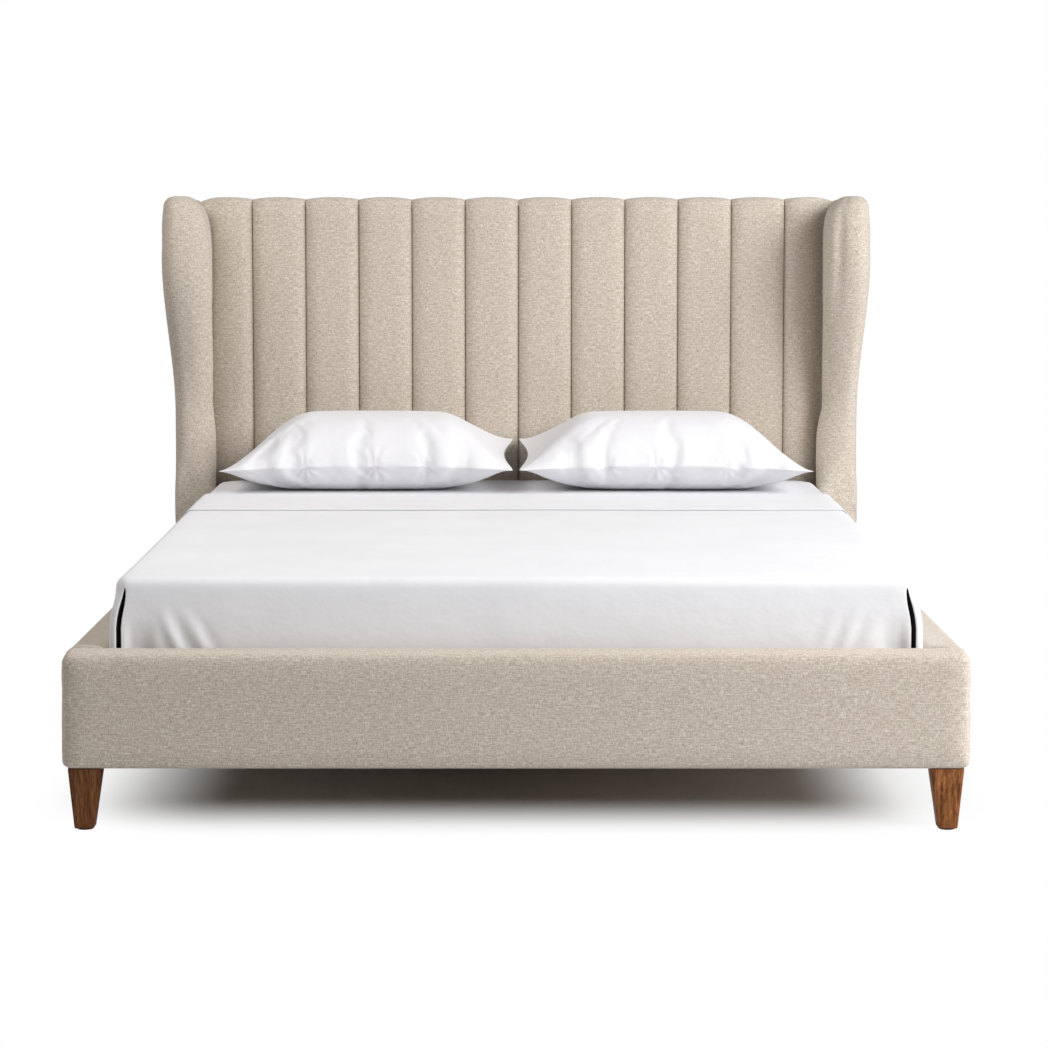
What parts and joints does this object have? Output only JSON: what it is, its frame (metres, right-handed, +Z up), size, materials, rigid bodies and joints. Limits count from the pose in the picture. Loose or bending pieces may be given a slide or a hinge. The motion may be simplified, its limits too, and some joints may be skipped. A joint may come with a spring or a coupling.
{
  "type": "upholstered winged bed",
  "caption": "Upholstered bed with a vertically channelled headboard between padded wings, a made-up mattress and two pillows, on tapered wooden legs.",
  "frame": {"origin": "on the floor, midway across the bed and midway between the footboard's front and the headboard's back", "axes": "+X across the bed, +Y from the foot to the head, +Z up"},
  "size_m": [1.77, 2.26, 1.2099],
  "materials": {
    "upholstery_linen": "matte",
    "foam": "matte",
    "frame_timber": "matte",
    "plywood": "matte",
    "leg_wood": "satin",
    "slat_wood": "matte",
    "zinc_steel": "satin",
    "glide_plastic": "matte",
    "webbing": "matte",
    "dust_cloth": "matte",
    "mattress_ticking": "matte",
    "bed_linen": "matte",
    "pillow_fill": "matte"
  },
  "bodies": {
    "bed_frame": {"footboard_board": "frame_timber", "footboard_padding": "foam", "footboard_cover": "upholstery_linen", "left_rail_board": "frame_timber", "left_rail_padding": "foam", "left_rail_cover": "upholstery_linen", "right_rail_board": "frame_timber", "right_rail_padding": "foam", "right_rail_cover": "upholstery_linen", "left_slat_ledge": "frame_timber", "right_slat_ledge": "frame_timber", "centre_beam": "frame_timber", "beam_hangers": "zinc_steel", "front_support_leg": "frame_timber", "rear_support_leg": "frame_timber", "front_left_leg": "leg_wood", "front_right_leg": "leg_wood", "rear_left_leg": "leg_wood", "rear_right_leg": "leg_wood", "leg_bolts": "zinc_steel", "leg_glides": "glide_plastic", "corner_brackets": "zinc_steel", "frame_screws": "zinc_steel", "slat_screws": "zinc_steel", "slat_webbing": "webbing", "slat_1": "slat_wood", "slat_2": "slat_wood", "slat_3": "slat_wood", "slat_4": "slat_wood", "slat_5": "slat_wood", "slat_6": "slat_wood", "slat_7": "slat_wood", "slat_8": "slat_wood", "slat_9": "slat_wood", "slat_10": "slat_wood", "slat_11": "slat_wood", "slat_12": "slat_wood", "headboard_frame": "frame_timber", "headboard_base_rail": "frame_timber", "headboard_panel": "plywood", "channel_foam": "foam", "channel_cover": "upholstery_linen", "headboard_back_cover": "dust_cloth", "left_wing_frame": "frame_timber", "left_wing_padding": "foam", "left_wing_cover": "upholstery_linen", "right_wing_frame": "frame_timber", "right_wing_padding": "foam", "right_wing_cover": "upholstery_linen"},
    "mattress_set": {"mattress": "mattress_ticking", "fitted_sheet": "bed_linen", "top_sheet": "bed_linen"},
    "left_pillow_set": {"left_pillow": "pillow_fill", "left_pillowcase": "bed_linen"},
    "right_pillow_set": {"right_pillow": "pillow_fill", "right_pillowcase": "bed_linen"},
    "front_leveller_foot": {"front_leveller": "glide_plastic"},
    "rear_leveller_foot": {"rear_leveller": "glide_plastic"}
  },
  "joints": [
    {"name": "mattress_lift", "type": "slide", "parent": "bed_frame", "child": "mattress_set", "axis": [0, 0, 1], "range_m": [0, 0.35]},
    {"name": "left_pillow_lift", "type": "slide", "parent": "mattress_set", "child": "left_pillow_set", "axis": [0, 0, 1], "range_m": [0, 0.3]},
    {"name": "right_pillow_lift", "type": "slide", "parent": "mattress_set", "child": "right_pillow_set", "axis": [0, 0, 1], "range_m": [0, 0.3]},
    {"name": "front_leveller_screw", "type": "slide", "parent": "bed_frame", "child": "front_leveller_foot", "axis": [0, 0, -1], "range_m": [0, 0.012]},
    {"name": "rear_leveller_screw", "type": "slide", "parent": "bed_frame", "child": "rear_leveller_foot", "axis": [0, 0, -1], "range_m": [0, 0.012]}
  ]
}
